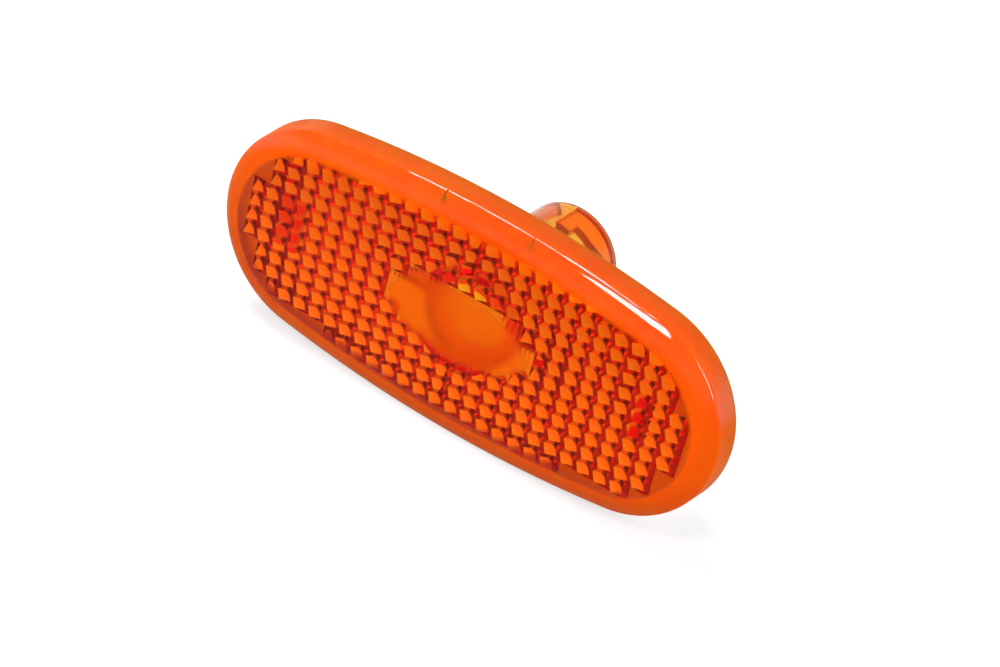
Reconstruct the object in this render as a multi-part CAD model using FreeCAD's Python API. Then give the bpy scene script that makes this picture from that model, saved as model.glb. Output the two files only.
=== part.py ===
import FreeCAD, Part
import math
import os

from FreeCAD import Vector

# Amber side indicator lamp for a vehicle body: a moulded lens with a reflex prism field, and the
# rear housing that closes it and carries the neck for a twist-in bulb holder.
# Frame, in millimetres: X along the lamp, Z up, the front face towards -Y. The origin lies on the
# neck's axis in the plane of the lens rim, where the lamp meets the vehicle's panel.

# Lens outline: a four-arc oval seen from the front
lens_length = 106.6
lens_height = 45.8
long_side_radius = 238.0        # the long sides bow out a little

# Lens section
wall_thickness = 2.4            # skirt
wall_draft = 0.25               # the skirt leans in by this towards the front
face_thickness = 2.2            # front face, clear of the prisms
edge_drop = 2.6                 # from the face down to the top of the skirt
edge_radius = 0.8               # small round between skirt and crowned band
band_width = 6.0                # crowned band, from the outline to the flat face
inner_radius = 1.0              # inside corner of the skirt
rim_width = 1.2                 # rim that is left outside the housing's rebate

# Reflex prism field: cube corners in straight rows and columns, one moulding with the lens
cell_pitch = 3.5                # along X
row_pitch = 3.03                # along Z
prism_cant = 8.0                # degrees that the cube corners' axes lean from +Y towards -X
field_margin_end = 6.2          # prism field to outline, at the ends
field_margin_side = 4.6         # and along the long sides
prism_root = 0.15               # depth that the prisms are rooted in the face

# Plain window in front of the neck, fluted on its inside
window_length = 32.4
window_height = 12.4
flutes_per_cell = 4
flute_rise = 0.06

# Witness marks of the mould: two across the upper front edge, one on the face
mark_spacing = 18.6
mark_radius = 0.28
mark_length = 2.6
face_mark_x = 38.8
face_mark_z = 0.4
face_mark_length = 2.4
face_mark_depth = 0.12

# Housing plate
plate_thickness = 1.6
plate_recess = 0.6              # behind the rim plane, so that the rim alone meets the panel
weld_clearance = 0.1            # round the plate, in the rebate
prism_clearance = 0.6           # prism tips to plate

# Neck for the bulb holder, from its bore outwards
nose_bore_radius = 7.2
nose_bore_end = 1.0             # from the rim plane to where the wider socket begins
ledge_clearance = 0.3           # nose bore to the ledges' inside
ledge_height = 1.6              # from there to the socket wall
neck_wall = 1.2                 # round the socket
neck_length = 29.8              # from the rim plane to the neck's end
mouth_chamfer = 0.5

# Bayonet in the neck's mouth: ledges that the holder's lugs turn behind, each with a stop
ledge_count = 3
ledge_start = 95.0              # degrees from +X towards +Z, at the first ledge's stop
ledge_sweep = 97.0              # degrees; what is left between two ledges lets a lug in
ledge_depth = 4.8               # along the axis, from the neck's end
ledge_root = 0.3                # depth that ledges and stops are rooted in the socket wall
lead_sweep = 54.0               # degrees of the ledge that slope, where a lug comes in
lead_slope = 0.52               # rise along the axis for each millimetre round
stop_sweep = 19.0               # degrees
stop_height = 2.6               # along the axis, on from the ledge

# Gussets between neck and plate
gusset_thickness = 1.5
gusset_height = 9.0             # along the neck
gusset_reach = 7.0              # along the plate
gusset_root = 0.4

# Fixings on the plate: a rigid hook at the left end, a sprung latch at the right end
panel_grip = 1.5                # rim plane to hook and barb, for sheet of about 1 mm
hook_inset = 13.0               # outer face of the hook's stem, from the plate's left end
hook_stem = 2.6
hook_width = 11.0
hook_toe = 3.2
hook_toe_thickness = 2.2
latch_inset = 14.0              # outer face of the latch's arm, from the plate's right end
latch_arm = 1.5
latch_width = 9.0
latch_length = 9.5              # rim plane to the arm's tip
barb_depth = 1.9
barb_lead = 5.2                 # length of the barb's sloping face
fixing_root = 0.4               # depth that hook and latch are rooted in the plate

# Cube corner geometry: three facets at right angles, two of them on either side of a sloping ridge
ridge_slope = math.atan(math.sqrt(0.5)) + math.radians(prism_cant)
ridge_run = math.cos(ridge_slope)   # share of a step up the ridge that runs along X
ridge_rise = math.sin(ridge_slope)  # and the share that runs along the depth
ridge_height = row_pitch / 2        # ridge over groove, square to the ridge
plate_of_prisms = cell_pitch * ridge_run
prism_height = plate_of_prisms * ridge_rise + ridge_height * ridge_run

# Stations along Y, from the rim plane at 0 to the front
plate_back = -plate_recess
plate_front = plate_back - plate_thickness
face_back = plate_front - prism_clearance - prism_height
face_front = face_back - face_thickness
skirt_top = face_front + edge_drop
half_length = lens_length / 2
half_height = lens_height / 2

# Radii of the neck, and the fixings' places along X
ledge_radius = nose_bore_radius + ledge_clearance
socket_radius = ledge_radius + ledge_height
neck_outer_radius = socket_radius + neck_wall
plate_half_length = half_length - rim_width - weld_clearance
hook_position = plate_half_length - hook_inset
latch_position = plate_half_length - latch_inset


class Oval:
    """Oval of four tangent arcs about the Y axis, from its half sizes and its long sides' radius."""

    def __init__(self, half_x, half_z, side_radius):
        self.half_x = half_x
        self.half_z = half_z
        self.side_radius = side_radius
        self.side_centre = side_radius - half_z
        self.end_radius = (half_z * (2 * side_radius - half_z) - half_x ** 2) / (2 * (side_radius - half_x))
        self.end_centre = half_x - self.end_radius
        self.join = math.atan2(self.end_centre, self.side_centre)  # from +Z to where the arcs join

    def inset(self, distance):
        """The parallel oval that lies this far inside."""
        return Oval(self.half_x - distance, self.half_z - distance, self.side_radius - distance)

    def arcs(self):
        """(centre x, centre z, radius, start angle, sweep) of each arc, from +X towards +Z."""
        low = math.pi / 2 - self.join
        return [
            (self.end_centre, 0, self.end_radius, -low, 2 * low),
            (0, -self.side_centre, self.side_radius, low, 2 * self.join),
            (-self.end_centre, 0, self.end_radius, low + 2 * self.join, 2 * low),
            (0, self.side_centre, self.side_radius, math.pi + low, 2 * self.join),
        ]

    def wire(self, y):
        def point(cx, cz, radius, angle):
            return Vector(cx + radius * math.cos(angle), y, cz + radius * math.sin(angle))

        edges = []
        for cx, cz, radius, start, sweep in self.arcs():
            three = [point(cx, cz, radius, start + share * sweep) for share in (0, 0.5, 1)]
            edges.append(Part.Arc(*three).toShape())
        return Part.Wire(edges)

    def slab(self, y_from, y_to):
        return Part.Face(self.wire(y_from)).extrude(Vector(0, y_to - y_from, 0))

    def half_width_at(self, z):
        """Half the oval's width at height z, or 0 where z lies outside it."""
        z = abs(z)
        if z >= self.half_z:
            return 0.0
        if z > self.end_radius * math.cos(self.join):
            return math.sqrt(self.side_radius ** 2 - (z + self.side_centre) ** 2)
        return self.end_centre + math.sqrt(self.end_radius ** 2 - z ** 2)


lens_oval = Oval(half_length, half_height, long_side_radius)
field_oval = Oval(half_length - field_margin_end, half_height - field_margin_side, long_side_radius)
plate_oval = lens_oval.inset(rim_width + weld_clearance)


def box(x_from, x_to, y_from, y_to, z_from, z_to):
    return Part.makeBox(x_to - x_from, y_to - y_from, z_to - z_from, Vector(x_from, y_from, z_from))


def fused(shapes):
    """One solid from several that touch or overlap."""
    return shapes[0].multiFuse(shapes[1:]).removeSplitter()


def line(a, b):
    return Part.LineSegment(a, b).toShape()


def skirt_section(cx, cz, radius, angle):
    """The skirt's section as a face, in the plane that holds the arc's axis at this angle."""
    out = Vector(math.cos(angle), 0, math.sin(angle))
    middle = Vector(cx, 0, cz)

    def at(inward, y):
        return middle + out * (radius - inward) + Vector(0, y, 0)

    # The crowned band is an arc that runs into the flat face; the small edge arc joins it to the skirt.
    corner = (wall_draft, skirt_top)
    run = band_width - corner[0]
    band_radius = (run ** 2 + edge_drop ** 2) / (2 * edge_drop)
    band_centre = (band_width, face_front + band_radius)

    # The edge arc's centre is offset from both the skirt line and the band arc by its radius.
    lean = math.atan2(wall_draft, -skirt_top)
    reach = band_radius - edge_radius
    inward = wall_draft + edge_radius / math.cos(lean)
    for _ in range(20):
        depth = band_centre[1] - math.sqrt(reach ** 2 - (band_centre[0] - inward) ** 2)
        inward = edge_radius / math.cos(lean) - depth * math.tan(lean)
    edge_centre = (inward, depth)
    on_skirt = (edge_centre[0] - edge_radius * math.cos(lean), edge_centre[1] - edge_radius * math.sin(lean))
    towards = math.atan2(edge_centre[1] - band_centre[1], edge_centre[0] - band_centre[0])
    on_band = (band_centre[0] + band_radius * math.cos(towards), band_centre[1] + band_radius * math.sin(towards))

    def on_arc(centre, arc_radius, start, end):
        """The point half way round the short arc between two points."""
        mid = ((start[0] + end[0]) / 2 - centre[0], (start[1] + end[1]) / 2 - centre[1])
        size = math.hypot(*mid)
        return (centre[0] + arc_radius * mid[0] / size, centre[1] + arc_radius * mid[1] / size)

    band_end = (band_width, face_front)
    inner_top = (wall_thickness + inner_radius, face_back)
    inner_side = (wall_thickness, face_back + inner_radius)
    inner_centre = (wall_thickness + inner_radius, face_back + inner_radius)
    edges = [
        line(at(0, 0), at(*on_skirt)),
        Part.Arc(at(*on_skirt), at(*on_arc(edge_centre, edge_radius, on_skirt, on_band)), at(*on_band)).toShape(),
        Part.Arc(at(*on_band), at(*on_arc(band_centre, band_radius, on_band, band_end)), at(*band_end)).toShape(),
        line(at(*band_end), at(band_width, face_back)),
        line(at(band_width, face_back), at(*inner_top)),
        Part.Arc(at(*inner_top), at(*on_arc(inner_centre, inner_radius, inner_top, inner_side)),
                 at(*inner_side)).toShape(),
        line(at(*inner_side), at(wall_thickness, plate_front)),
        line(at(wall_thickness, plate_front), at(rim_width, plate_front)),
        line(at(rim_width, plate_front), at(rim_width, 0)),
        line(at(rim_width, 0), at(0, 0)),
    ]
    return Part.Face(Part.Wire(edges))


def lens_shell():
    """Skirt and crowned band turned about each arc of the outline, round the flat face."""
    pieces = [lens_oval.inset(band_width).slab(face_front, face_back)]
    for cx, cz, radius, start, sweep in lens_oval.arcs():
        section = skirt_section(cx, cz, radius, start)
        pieces.append(section.revolve(Vector(cx, 0, cz), Vector(0, -1, 0), math.degrees(sweep)))
    return fused(pieces)


def in_window(x, z):
    return (2 * x / window_length) ** 2 + (2 * z / window_height) ** 2 < 1


def field_rows():
    """{row: (z, last column)} of the rows of whole cells; each runs from -last to last."""
    count = int(2 * field_oval.half_z / row_pitch)
    heights = {row: (row - (count - 1) / 2) * row_pitch for row in range(count)}
    return {row: (z, int(field_oval.half_width_at(z) / cell_pitch)) for row, z in heights.items()}


def runs(numbers):
    """Splits a rising list of whole numbers where it skips one."""
    groups = []
    for number in numbers:
        if groups and number == groups[-1][-1] + 1:
            groups[-1].append(number)
        else:
            groups.append([number])
    return groups


def prism_run(x, z_from, ends):
    """One upright run of cube corners: a ridged plate that leans, so its end faces are the third facets.

    ends says of each cell, from the bottom up, whether it has no neighbour on its left."""
    ridge = Vector(ridge_run, ridge_rise, 0)        # the ridges run right and back
    square = Vector(-ridge_rise, ridge_run, 0)      # square to the ridges, out of the face
    step = Vector(0, 0, row_pitch)
    left = x - cell_pitch / 2
    start = Vector(left, face_back, z_from)
    below = square * ((plate_of_prisms * ridge_rise + prism_root) / ridge_run)
    points = [start - below]
    for i in range(len(ends)):
        groove = start + step * i
        points += [groove, groove + step * 0.5 + square * ridge_height]
    top = start + step * len(ends)
    points += [top, top - below]
    outline = Part.makePolygon(points + [points[0]])
    plate = Part.Face(outline).extrude(ridge * plate_of_prisms)

    # The plate's foot is trimmed inside the face, and a cell at a left end gets an upright wall.
    reach = 2 * (cell_pitch + row_pitch)
    trims = [box(x - reach, x + reach, face_back - reach, face_back - prism_root, z_from, top.z)]
    for i, at_end in enumerate(ends):
        if at_end:
            z = z_from + i * row_pitch
            trims.append(box(x - reach, left, face_back - reach, face_back + reach, z, z + row_pitch))
    return plate.cut(trims)


def flute_band(z_from, z_to, columns):
    """Upright flutes on the inside of the window, over one band of its height."""
    pitch = cell_pitch / flutes_per_cell
    left = (columns[0] - 0.5) * cell_pitch
    count = len(columns) * flutes_per_cell
    base = face_back - prism_root
    corners = [Vector(left + i * pitch, face_back, z_from) for i in range(count + 1)]
    edges = [line(Vector(left, base, z_from), corners[0])]
    for a, b in zip(corners, corners[1:]):
        crown = (a + b) * 0.5 + Vector(0, flute_rise, 0)
        edges.append(Part.Arc(a, crown, b).toShape())
    right = corners[-1] - Vector(0, prism_root, 0)
    edges += [line(corners[-1], right), line(right, Vector(left, base, z_from))]
    return Part.Face(Part.Wire(edges)).extrude(Vector(0, 0, z_to - z_from))


def lens_optics():
    """The prism runs, and the flutes where the window leaves cells out."""
    rows = field_rows()
    prisms = set()
    pieces = []
    for row, (z, last) in rows.items():
        columns = range(-last, last + 1)
        open_cells = [c for c in columns if in_window(c * cell_pitch, z)]
        prisms.update((c, row) for c in columns if c not in open_cells)
        if open_cells:
            pieces.append(flute_band(z - row_pitch / 2, z + row_pitch / 2, open_cells))
    for column in sorted({c for c, _ in prisms}):
        for group in runs([row for row in rows if (column, row) in prisms]):
            ends = [(column - 1, row) not in prisms for row in group]
            pieces.append(prism_run(column * cell_pitch, rows[group[0]][0] - row_pitch / 2, ends))
    return pieces


def witness_marks():
    """Fine grooves: two that lie on the crowned band and cross its edge, and one on the face."""
    start = Vector(0, skirt_top, half_height - wall_draft)
    along = Vector(0, -edge_drop, -(band_width - wall_draft))
    along.normalize()
    tools = []
    for side in (-1, 1):
        foot = start + Vector(side * mark_spacing / 2, 0, 0) - along * mark_length / 2
        tools.append(Part.makeCylinder(mark_radius, 1.5 * mark_length, foot, along))
    foot = Vector(face_mark_x - face_mark_length / 2, face_front - mark_radius + face_mark_depth, face_mark_z)
    tools.append(Part.makeCylinder(mark_radius, face_mark_length, foot, Vector(1, 0, 0)))
    return tools


def make_lens():
    lens = fused([lens_shell()] + lens_optics())
    return lens.cut(witness_marks())


def ledge(start_angle):
    """One bayonet ledge on the socket wall, with its stop and its sloping lead."""
    inside = ledge_radius
    outside = socket_radius + ledge_root
    axis = Vector(0, 1, 0)
    low = neck_length - ledge_depth

    def direction(angle):
        return Vector(math.cos(math.radians(angle)), 0, math.sin(math.radians(angle)))

    def sector(y_from, y_to, sweep):
        out = direction(start_angle)
        points = [out * inside + axis * y_from, out * outside + axis * y_from,
                  out * outside + axis * y_to, out * inside + axis * y_to]
        section = Part.Face(Part.makePolygon(points + [points[0]]))
        return section.revolve(Vector(0, 0, 0), axis, sweep)

    # The lead is cut by a wedge that starts part of the way round and lies square to the radius there.
    turn = start_angle - (ledge_sweep - lead_sweep)
    out = direction(turn)
    along = direction(turn - 90)
    foot = axis * (low - stop_height)
    far = along * outside
    points = [axis * low, far + axis * (low + outside * lead_slope), far + foot, foot]
    wedge = Part.Face(Part.makePolygon(points + [points[0]])).extrude(out * 2 * outside)
    wedge.translate(out * -outside)
    bar = sector(low, neck_length, ledge_sweep).cut(wedge)
    stop = sector(low - stop_height, low + ledge_root, stop_sweep)
    return [bar, stop]


def gusset(turn):
    """A triangular web between neck and plate, turned about the neck's axis."""
    inner = neck_outer_radius - gusset_root
    outer = neck_outer_radius + gusset_reach
    foot = plate_back - gusset_root
    top = plate_back + gusset_height
    points = [Vector(inner, foot, 0), Vector(outer, foot, 0), Vector(outer, plate_back, 0), Vector(inner, top, 0)]
    web = Part.Face(Part.makePolygon(points + [points[0]])).extrude(Vector(0, 0, gusset_thickness))
    web.translate(Vector(0, 0, -gusset_thickness / 2))
    web.rotate(Vector(0, 0, 0), Vector(0, 1, 0), turn)
    return web


def hook():
    """Rigid hook at the left end; its toe points outwards behind the panel."""
    foot = plate_back - fixing_root
    top = panel_grip + hook_toe_thickness
    half = hook_width / 2
    stem = box(-hook_position, -hook_position + hook_stem, foot, top, -half, half)
    toe = box(-hook_position - hook_toe, -hook_position + hook_stem, panel_grip, top, -half, half)
    return [stem, toe]


def latch():
    """Sprung arm at the right end with a barb that snaps behind the panel."""
    foot = plate_back - fixing_root
    half = latch_width / 2
    arm = box(latch_position - latch_arm, latch_position, foot, latch_length, -half, half)
    points = [Vector(latch_position, panel_grip, -half), Vector(latch_position + barb_depth, panel_grip, -half),
              Vector(latch_position, panel_grip + barb_lead, -half)]
    barb = Part.Face(Part.makePolygon(points + [points[0]])).extrude(Vector(0, 0, latch_width))
    return [arm, barb]


def make_rear_housing():
    back = Vector(0, 1, 0)

    def rod(radius, y_from, y_to):
        return Part.makeCylinder(radius, y_to - y_from, Vector(0, y_from, 0), back)

    solid = [plate_oval.slab(plate_back, plate_front), rod(neck_outer_radius, plate_front, neck_length)]
    solid += [gusset(turn) for turn in (0, 90, 180, 270)] + hook() + latch()
    body = fused(solid)
    through = neck_length - plate_front
    mouth = Part.makeCone(socket_radius, socket_radius + mouth_chamfer, mouth_chamfer,
                          Vector(0, neck_length - mouth_chamfer, 0), back)
    bores = [rod(nose_bore_radius, plate_front - through, neck_length + through),
             rod(socket_radius, nose_bore_end, neck_length + through), mouth]
    body = body.cut(bores)
    ledges = []
    for i in range(ledge_count):
        ledges += ledge(ledge_start + i * 360 / ledge_count)
    return fused([body] + ledges)


def main():
    os.makedirs("parts", exist_ok=True)
    for name, shape in (("lens", make_lens()), ("rear_housing", make_rear_housing())):
        solids = shape.Solids
        print(name, len(solids), "solid", len(shape.Faces), "faces", round(shape.Volume, 1), "mm3", shape.isValid())
        (solids[0] if len(solids) == 1 else shape).exportStep(f"parts/{name}.step")


main()
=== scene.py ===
import bpy
from mathutils import Matrix, Vector


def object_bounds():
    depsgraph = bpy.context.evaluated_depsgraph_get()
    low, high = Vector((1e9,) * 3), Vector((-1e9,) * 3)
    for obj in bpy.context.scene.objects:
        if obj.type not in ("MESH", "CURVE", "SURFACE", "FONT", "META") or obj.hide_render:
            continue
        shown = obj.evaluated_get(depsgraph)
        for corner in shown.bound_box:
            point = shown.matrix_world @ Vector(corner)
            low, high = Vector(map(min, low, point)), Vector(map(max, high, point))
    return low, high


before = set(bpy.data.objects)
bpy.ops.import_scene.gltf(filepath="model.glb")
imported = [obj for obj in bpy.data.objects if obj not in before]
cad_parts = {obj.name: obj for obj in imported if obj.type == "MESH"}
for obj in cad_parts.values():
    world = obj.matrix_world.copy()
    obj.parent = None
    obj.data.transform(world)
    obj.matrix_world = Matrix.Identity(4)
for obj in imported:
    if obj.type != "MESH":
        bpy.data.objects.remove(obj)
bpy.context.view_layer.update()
scene = bpy.context.scene
print("frame loaded:", ", ".join(sorted(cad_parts)))


class Wire:
    # a socket that can be used in sums
    def __init__(self, graph, socket):
        self.graph = graph
        self.socket = socket

    def maths(self, operation, *values):
        return self.graph.node("ShaderNodeMath", {"operation": operation}, dict(enumerate(values)))

    def __add__(self, other):
        return self.maths("ADD", self, other)

    def __radd__(self, other):
        return self.maths("ADD", other, self)

    def __sub__(self, other):
        return self.maths("SUBTRACT", self, other)

    def __rsub__(self, other):
        return self.maths("SUBTRACT", other, self)

    def __mul__(self, other):
        return self.maths("MULTIPLY", self, other)

    def __rmul__(self, other):
        return self.maths("MULTIPLY", other, self)

    def __pow__(self, power):
        return self.maths("POWER", self, power)

    def __abs__(self):
        return self.maths("ABSOLUTE", self)

    def above(self, limit):
        return self.maths("GREATER_THAN", self, limit)

    def either(self, other):
        return self.maths("MAXIMUM", self, other)

    def ramp(self, start, end, low=0.0, high=1.0):
        return self.graph.node("ShaderNodeMapRange", {"interpolation_type": "SMOOTHSTEP"}, {
            "Value": self, "From Min": start, "From Max": end, "To Min": low, "To Max": high})


class Graph:
    def __init__(self, owner):
        owner.use_nodes = True
        self.tree = owner.node_tree
        self.tree.nodes.clear()

    def node(self, kind, settings=None, sockets=None, out=0):
        made = self.tree.nodes.new(kind)
        for key, value in (settings or {}).items():
            setattr(made, key, value)
        for key, value in (sockets or {}).items():
            if isinstance(value, Wire):
                self.tree.links.new(value.socket, made.inputs[key])
            else:
                made.inputs[key].default_value = value
        return Wire(self, made.outputs[out]) if made.outputs else None


def axesOf(graph, vector):
    return [graph.node("ShaderNodeSeparateXYZ", None, {0: vector}, out=axis) for axis in "XYZ"]


def blend(graph, factor, first, second):
    return graph.node("ShaderNodeMix", {"data_type": "RGBA"},
                      {"Factor": factor, 6: first, 7: second}, out=2)


# lens; the loss is absorption per metre of red, green and blue
lensLook = {"loss": (10.0, 310.0, 2200.0), "ior": 1.49, "gleam": 0.05, "roughness": (0.005, 0.02),
            "hazeRoughness": 0.2, "coat": 1.0, "cloud": (0.84, 0.098, 0.0005, 1),
            "cloudDeep": (0.80, 0.080, 0.0004, 1), "cloudShare": 0.85}
# the arcs of its outline, in metres, and the cloudy band along it
outline = {"sideRadius": 0.238, "sideCentre": 0.2151,
           "endRadius": 0.0204, "endCentre": 0.0329, "arcsJoin": 0.0345}
band = {"full": 0.0041, "none": 0.0052}
# the inside of the face: a cloudy flat around the prism field, and a satin fluted window
inside = {"depth": -0.00565, "reach": 0.0002, "inset": 0.003, "tone": (0.98, 0.34, 0.006, 1)}
window = {"length": 0.0316, "height": 0.0122, "roughness": 0.22}
# a thin mist on the outer face, in an oval in front of the window
mist = {"length": 0.0330, "height": 0.0150, "to": -0.0070, "fadeFrom": 0.6, "share": 0.5}
# the prisms: satin on the facets that lean right and up, and a painted shade at the tips where the
# cube corners look dark
facets = {"from": -0.0054, "inset": 0.0046, "right": (0.5, 0.6), "up": (0.55, 0.65),
          "back": 0.3, "share": 0.55}
paintedTipShade = {"from": -0.0034, "to": -0.0031, "share": 0.65, "tone": (0.12, 0.012, 0.0005, 1)}


def insetFromOutline(along, up):
    along, up = abs(along), abs(up)
    side = outline["sideRadius"] - (along ** 2 + (up + outline["sideCentre"]) ** 2) ** 0.5
    end = outline["endRadius"] - ((along - outline["endCentre"]) ** 2 + up ** 2) ** 0.5
    return side + along.above(outline["arcsJoin"]) * (end - side)


def lensLayers(graph, place):
    along, depth, up = axesOf(graph, place)
    inset = insetFromOutline(along, up)
    rim = inset.ramp(band["full"], band["none"], 1.0, 0.0)
    level = 1 - abs(depth - inside["depth"]).above(inside["reach"])
    level = level * inset.above(inside["inset"])
    fluted = 1 - abs(along).above(window["length"] / 2)
    fluted = fluted * (1 - abs(up).above(window["height"] / 2))
    flat = level * (1 - fluted)
    oval = (along * (2 / mist["length"])) ** 2 + (up * (2 / mist["height"])) ** 2
    misty = oval.ramp(mist["fadeFrom"], 1.0, 1.0, 0.0) * (1 - depth.above(mist["to"]))
    right, back, top = axesOf(graph, graph.node("ShaderNodeTexCoord", out="Normal"))
    field = depth.above(facets["from"]) * inset.above(facets["inset"])
    leaning = right.ramp(*facets["right"]).either(top.ramp(*facets["up"]))
    leaning = leaning * back.above(facets["back"]) * field
    return {"cloudy": rim.either(flat), "misty": misty * mist["share"],
            "pale": flat.either(leaning), "satin": leaning * facets["share"],
            # painted shade: a dark tone at the prism tips, by depth
            "paintedShade": depth.ramp(paintedTipShade["from"], paintedTipShade["to"]) * field,
            "soft": level * fluted * window["roughness"]}


# rear housing; its plate is clearer than its neck
housingLook = {"loss": (8.0, 540.0, 2000.0), "ior": 1.49, "gleam": 0.25, "roughness": (0.04, 0.12),
               "hazeRoughness": 0.0, "coat": 0.3, "cloud": (0.93, 0.22, 0.02, 1),
               "cloudDeep": (0.86, 0.15, 0.008, 1), "cloudShare": 0.15}
haze = {"scale": 30.0, "detail": 2.0, "range": (0.2, 0.8), "least": 0.7,
        "plateTo": 0.0, "neckFrom": 0.004, "plateShare": 0.08}


def housingLayers(graph, place):
    wisps = graph.node("ShaderNodeTexNoise", None, {
        "Vector": place, "Scale": haze["scale"], "Detail": haze["detail"]})
    depth = axesOf(graph, place)[1]
    cloudy = wisps.ramp(*haze["range"], haze["least"], 1.0)
    cloudy = cloudy * depth.ramp(haze["plateTo"], haze["neckFrom"], haze["plateShare"], 1.0)
    return {"cloudy": cloudy, "misty": 0.0, "pale": 0.0, "satin": 0.0, "paintedShade": 0.0, "soft": 0.0}


# what both mouldings share: flow marks, fine ripple, gloss and the depth that light scatters in
moulding = {"flowScale": 70.0, "flowDetail": 3.0, "sheenRange": (0.3, 0.7), "toneRange": (0.35, 0.65),
            "rippleScale": 220.0, "rippleDetail": 2.0, "rippleStrength": 0.01, "rippleDepth": 0.0002,
            "edgeBlend": 0.5, "edgeRange": (0.35, 0.85), "upwardRange": (0.25, 0.5), "lowGloss": 0.06,
            "coatRoughness": 0.03, "cloudRoughness": 0.06, "scatter": (1.0, 0.3, 0.05),
            "scatterDepth": 0.006}


def amberPlastic(name, look, layersOf):
    material = bpy.data.materials.new(name)
    graph = Graph(material)
    place = graph.node("ShaderNodeTexCoord", out="Object")
    layers = layersOf(graph, place)
    flow = graph.node("ShaderNodeTexNoise", None, {
        "Vector": place, "Scale": moulding["flowScale"], "Detail": moulding["flowDetail"]})
    sheen = flow.ramp(*moulding["sheenRange"], *look["roughness"])
    ripple = graph.node("ShaderNodeTexNoise", None, {
        "Vector": place, "Scale": moulding["rippleScale"], "Detail": moulding["rippleDetail"]})
    dent = graph.node("ShaderNodeBump", None, {
        "Height": ripple, "Strength": moulding["rippleStrength"], "Distance": moulding["rippleDepth"]})
    # the lower edges are duller, and the gloss fades where the surface turns away
    edge = graph.node("ShaderNodeLayerWeight", None, {"Blend": moulding["edgeBlend"]}, out="Facing")
    upward = axesOf(graph, graph.node("ShaderNodeTexCoord", out="Normal"))[2]
    gloss = upward.ramp(*moulding["upwardRange"], moulding["lowGloss"], 1.0)
    gloss = gloss * (1 - edge.ramp(*moulding["edgeRange"]))
    coat = layers["cloudy"] * gloss * look["coat"]
    glass = graph.node("ShaderNodeBsdfPrincipled", {"distribution": "MULTI_GGX"}, {
        "Base Color": (1, 1, 1, 1), "Transmission Weight": 1.0, "IOR": look["ior"],
        "Specular Tint": (look["gleam"],) * 3 + (1,),
        "Roughness": sheen + layers["cloudy"] * look["hazeRoughness"] + layers["soft"],
        "Coat Weight": coat, "Coat Roughness": moulding["coatRoughness"], "Coat IOR": look["ior"],
        "Normal": dent})
    tone = blend(graph, flow.ramp(*moulding["toneRange"]), look["cloudDeep"], look["cloud"])
    tone = blend(graph, layers["pale"], tone, inside["tone"])
    # the painted shade darkens the tone at the prism tips
    tone = blend(graph, layers["paintedShade"], tone, paintedTipShade["tone"])
    cloud = graph.node("ShaderNodeBsdfPrincipled", None, {
        "Base Color": tone, "Roughness": sheen + moulding["cloudRoughness"],
        "Specular IOR Level": 0.0, "Normal": dent, "Subsurface Weight": 1.0,
        "Subsurface Radius": moulding["scatter"], "Subsurface Scale": moulding["scatterDepth"],
        "Coat Weight": coat, "Coat Roughness": moulding["coatRoughness"], "Coat IOR": look["ior"]})
    share = (layers["cloudy"] * look["cloudShare"]).either(layers["misty"])
    # the painted tip shade also takes a share of the scattering shader
    share = share.either(layers["satin"]).either(layers["paintedShade"] * paintedTipShade["share"])
    whole = graph.node("ShaderNodeMixShader", None, {0: share, 1: glass, 2: cloud})
    red, green, blue = look["loss"]
    thick = graph.node("ShaderNodeVolumeAbsorption", None, {
        "Color": (1 - red / blue, 1 - green / blue, 0, 1), "Density": blue})
    graph.node("ShaderNodeOutputMaterial", None, {"Surface": whole, "Volume": thick})
    return material


for node, slot, look, layersOf in (("lens", "amber_lens", lensLook, lensLayers),
                                   ("rear_housing", "amber_housing", housingLook, housingLayers)):
    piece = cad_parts[node]
    piece.data.materials.clear()
    piece.data.materials.append(amberPlastic(slot, look, layersOf))
print("amber plastic done")

# a white backdrop all round that is dimmer overhead
backdrop = {"overhead": 0.2, "overheadFrom": 0.5}
world = bpy.data.worlds.new("studioWorld")
scene.world = world
graph = Graph(world)
height = axesOf(graph, graph.node("ShaderNodeTexCoord", out="Generated"))[2]
shade = height.ramp(0.0, backdrop["overheadFrom"], 1.0, backdrop["overhead"])
around = graph.node("ShaderNodeBackground", None, {"Color": (1, 1, 1, 1), "Strength": shade})
graph.node("ShaderNodeOutputWorld", None, {"Surface": around})

# paper floor, lifted to white where it is seen directly, mirrored or through the plastic
ground = {"size": 6.0, "gap": 0.00005, "paper": (0.35, 0.35, 0.35, 1), "lift": 0.68}
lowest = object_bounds()[0][2] - ground["gap"]
bpy.ops.mesh.primitive_plane_add(size=ground["size"], location=(0, 0, lowest))
floor = bpy.context.object
floor.name = "floor"
paper = bpy.data.materials.new("whitePaper")
graph = Graph(paper)
direct, mirrored, through = [graph.node("ShaderNodeLightPath", out=kind) for kind in (
    "Is Camera Ray", "Is Glossy Ray", "Is Transmission Ray")]
matt = graph.node("ShaderNodeBsdfDiffuse", None, {"Color": ground["paper"]})
bright = graph.node("ShaderNodeEmission", None, {
    "Color": (1, 1, 1, 1), "Strength": direct.either(mirrored).either(through) * ground["lift"]})
both = graph.node("ShaderNodeAddShader", None, {0: matt, 1: bright})
graph.node("ShaderNodeOutputMaterial", None, {"Surface": both})
floor.data.materials.append(paper)

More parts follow.
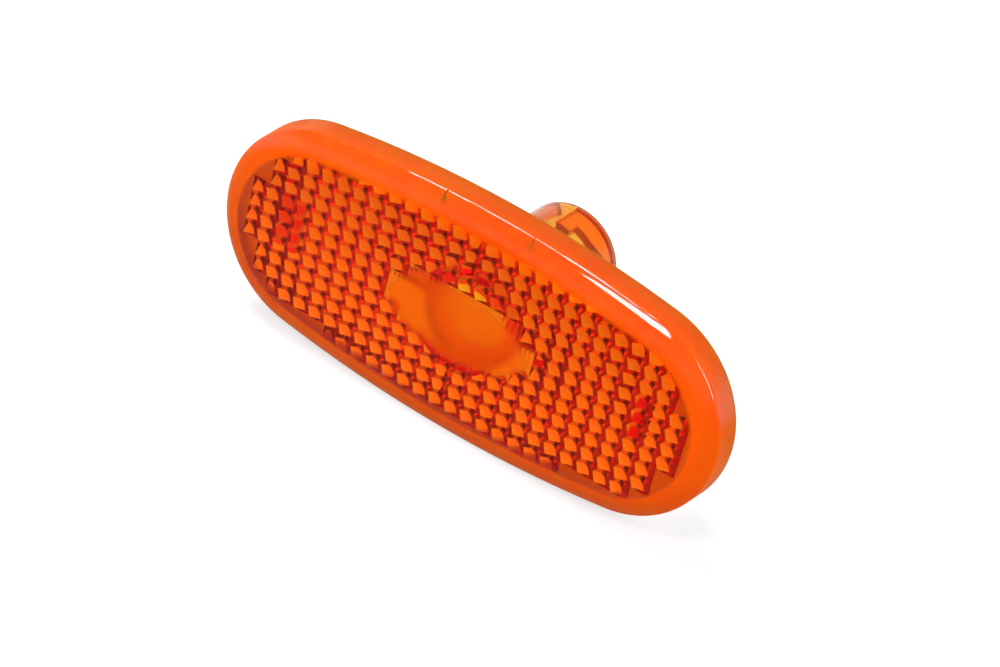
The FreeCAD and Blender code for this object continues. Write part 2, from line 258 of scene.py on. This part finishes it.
# soft lamps, a metre away; one that isn't mirrored lights the plastic without showing in its gloss
softboxes = {
    "topSoftbox": {"towards": (-0.39, -0.15, 0.90), "distance": 1.0, "wide": 0.42, "high": 0.34,
                   "watts": 6.6, "mirrored": True},
    "frontSoftbox": {"towards": (-0.06, -0.68, 0.72), "distance": 1.0, "wide": 0.34, "high": 0.17,
                     "watts": 3.2, "mirrored": True},
    "sideSoftbox": {"towards": (0.77, -0.35, 0.50), "distance": 1.0, "wide": 0.28, "high": 0.66,
                    "watts": 7.0, "mirrored": True},
    "lowSoftbox": {"towards": (-0.42, -0.90, 0.10), "distance": 1.0, "wide": 0.80, "high": 0.50,
                   "watts": 2.8, "mirrored": False},
}
for name, look in softboxes.items():
    data = bpy.data.lights.new(name, "AREA")
    data.shape = "ELLIPSE"
    data.size = look["wide"]
    data.size_y = look["high"]
    data.energy = look["watts"]
    lamp = bpy.data.objects.new(name, data)
    scene.collection.objects.link(lamp)
    direction = Vector(look["towards"]).normalized()
    lamp.location = direction * look["distance"]
    lamp.visible_glossy = look["mirrored"]
    lamp.rotation_euler = direction.to_track_quat("Z", "Y").to_euler()
print("studio done")

view = {"place": (0.20552, -0.41853, 0.28903), "right": (0.8087, 0.5436, 0.2246),
        "up": (-0.4606, 0.3477, 0.8167), "lens": 111.55, "sensor": 36.0, "clipFrom": 0.01}
cameraData = bpy.data.cameras.new("camera")
cameraData.sensor_fit = "HORIZONTAL"
cameraData.sensor_width = view["sensor"]
cameraData.lens = view["lens"]
cameraData.clip_start = view["clipFrom"]
camera = bpy.data.objects.new("camera", cameraData)
scene.collection.objects.link(camera)
right, up = Vector(view["right"]), Vector(view["up"])
turn = Matrix((right, up, right.cross(up))).transposed()
camera.matrix_world = Matrix.Translation(view["place"]) @ turn.to_4x4()
scene.camera = camera

scene.view_settings.view_transform = "Standard"
# light crosses many walls and facets before it leaves the lamp
bounces = {"max_bounces": 32, "transmission_bounces": 32, "glossy_bounces": 16}
for kind, count in bounces.items():
    setattr(scene.cycles, kind, count)
print("camera done")
